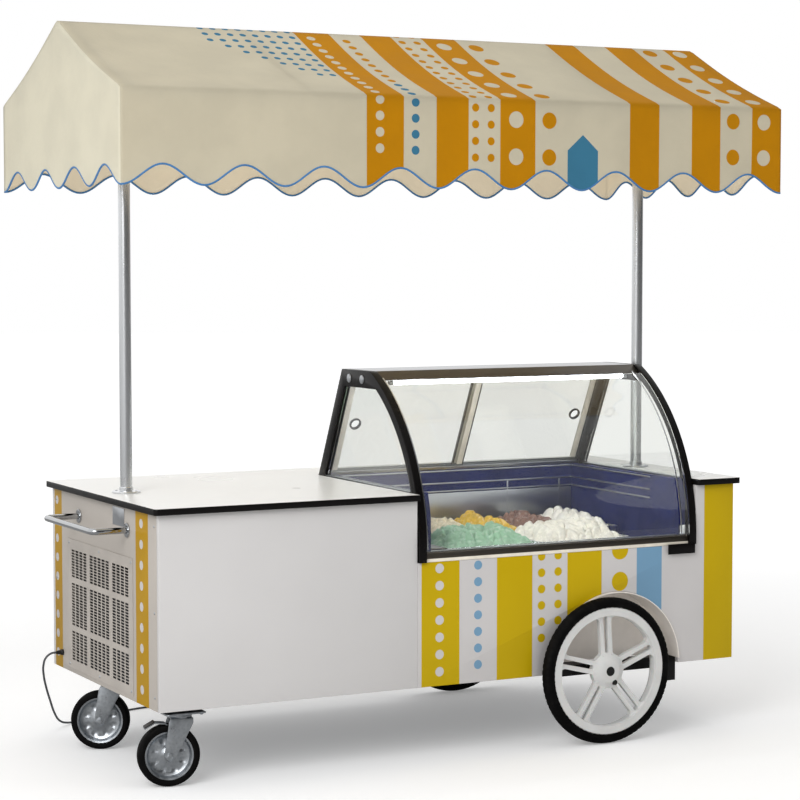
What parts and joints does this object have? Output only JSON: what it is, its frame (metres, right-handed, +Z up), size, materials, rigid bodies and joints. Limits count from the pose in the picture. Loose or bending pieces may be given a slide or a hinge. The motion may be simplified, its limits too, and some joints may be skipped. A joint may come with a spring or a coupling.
{
  "type": "ice cream cart",
  "caption": "Wheeled ice cream cart with a curved glass case over chilled pans, a worktop, spoked wheels, swivel casters, a push handle and a ridged canopy on two posts.",
  "frame": {"origin": "on the floor, below the middle of the cart's bounding box without its free cord", "axes": "+X along the cart away from the push handle, +Y to the seller's side, +Z up"},
  "size_m": [2.48, 1.4386, 2.45],
  "materials": {
    "laminate": "white laminate, satin",
    "panel": "satin paint",
    "beige_panel": "satin paint",
    "black_coat": "powder coat",
    "zinc": "zinc plated",
    "beige_plastic": "moulded liner",
    "chrome": "polished",
    "glass": "clear",
    "aluminium": "anodised",
    "lamp": "opal tube",
    "navy": "satin liner",
    "stainless": "brushed",
    "canopy": "woven canvas",
    "rubber": "moulded",
    "cord": "sheath",
    "nylon": "moulded",
    "tyre": "matte",
    "ice_vanilla": "soft",
    "ice_lemon": "soft",
    "ice_chocolate": "soft",
    "ice_coconut": "soft",
    "ice_mint": "soft",
    "ice_cream": "soft"
  },
  "bodies": {
    "cart": {"worktop": "laminate", "front_panel_plain": "panel", "front_panel_striped": "panel", "back_panel": "panel", "end_panel_handle": "beige_panel", "end_panel_far": "beige_panel", "grille": "beige_panel", "compressor_block": "black_coat", "floor_panel": "zinc", "storage_liner": "panel", "wheel_arch_front": "beige_plastic", "wheel_arch_back": "beige_plastic", "chassis": "black_coat", "axle_bracket_front": "black_coat", "axle_bracket_back": "black_coat", "caster_plate_front": "zinc", "caster_plate_back": "zinc", "handle": "chrome", "case_end_left": "black_coat", "case_end_right": "black_coat", "case_glass_left": "glass", "case_glass_right": "glass", "case_glass_front": "glass", "case_top_rail": "aluminium", "case_lamp": "lamp", "case_sill": "aluminium", "case_track_low": "aluminium", "case_track_high": "aluminium", "cold_well": "navy", "pans": "stainless", "ice_cream_vanilla": "ice_vanilla", "ice_cream_lemon": "ice_lemon", "ice_cream_chocolate": "ice_chocolate", "ice_cream_coconut": "ice_coconut", "ice_cream_mint": "ice_mint", "ice_cream_cream": "ice_cream", "post_left": "stainless", "post_right": "stainless", "canopy_frame": "aluminium", "canopy_fabric": "canopy", "cord_gland": "rubber", "cord": "cord", "cord_coil": "cord", "cord_plug": "rubber"},
    "wheel_front": {"wheel_rim_front": "nylon", "wheel_tyre_front": "tyre"},
    "wheel_back": {"wheel_rim_back": "nylon", "wheel_tyre_back": "tyre"},
    "caster_front": {"caster_fork_front": "zinc"},
    "caster_back": {"caster_fork_back": "zinc"},
    "caster_front_wheel": {"caster_rim_front": "zinc", "caster_tyre_front": "tyre"},
    "caster_back_wheel": {"caster_rim_back": "zinc", "caster_tyre_back": "tyre"},
    "slide_door_left": {"slide_door_left": "glass"},
    "slide_door_right": {"slide_door_right": "glass"},
    "storage_door_left": {"storage_door_left": "panel"},
    "storage_door_right": {"storage_door_right": "panel"}
  },
  "joints": [
    {"name": "wheel_front_spin", "type": "hinge", "parent": "cart", "child": "wheel_front", "pos_m": [0.54, -0.54, 0.254], "axis": [0, 1, 0], "continuous": true},
    {"name": "wheel_back_spin", "type": "hinge", "parent": "cart", "child": "wheel_back", "pos_m": [0.54, 0.54, 0.254], "axis": [0, 1, 0], "continuous": true},
    {"name": "caster_front_swivel", "type": "hinge", "parent": "cart", "child": "caster_front", "pos_m": [-1.0055, -0.448, 0.22], "axis": [0, 0, 1], "continuous": true},
    {"name": "caster_back_swivel", "type": "hinge", "parent": "cart", "child": "caster_back", "pos_m": [-1.0055, 0.17, 0.22], "axis": [0, 0, 1], "continuous": true},
    {"name": "caster_front_spin", "type": "hinge", "parent": "caster_front", "child": "caster_front_wheel", "pos_m": [-1.04448, -0.439, 0.1], "axis": [0.225, 0.9744, 0], "continuous": true},
    {"name": "caster_back_spin", "type": "hinge", "parent": "caster_back", "child": "caster_back_wheel", "pos_m": [-1.04095, 0.18853, 0.1], "axis": [0.4633, 0.8862, 0], "continuous": true},
    {"name": "slide_door_left_slide", "type": "slide", "parent": "cart", "child": "slide_door_left", "axis": [1, 0, 0], "range_m": [0, 0.5]},
    {"name": "slide_door_right_slide", "type": "slide", "parent": "cart", "child": "slide_door_right", "axis": [1, 0, 0], "range_m": [-0.5, 0]},
    {"name": "storage_door_left_hinge", "type": "hinge", "parent": "cart", "child": "storage_door_left", "pos_m": [-0.7325, 0.5056, 0.57], "axis": [0, 0, 1], "range_deg": [0, 110]},
    {"name": "storage_door_right_hinge", "type": "hinge", "parent": "cart", "child": "storage_door_right", "pos_m": [-0.2075, 0.5056, 0.57], "axis": [0, 0, -1], "range_deg": [0, 110]}
  ]
}
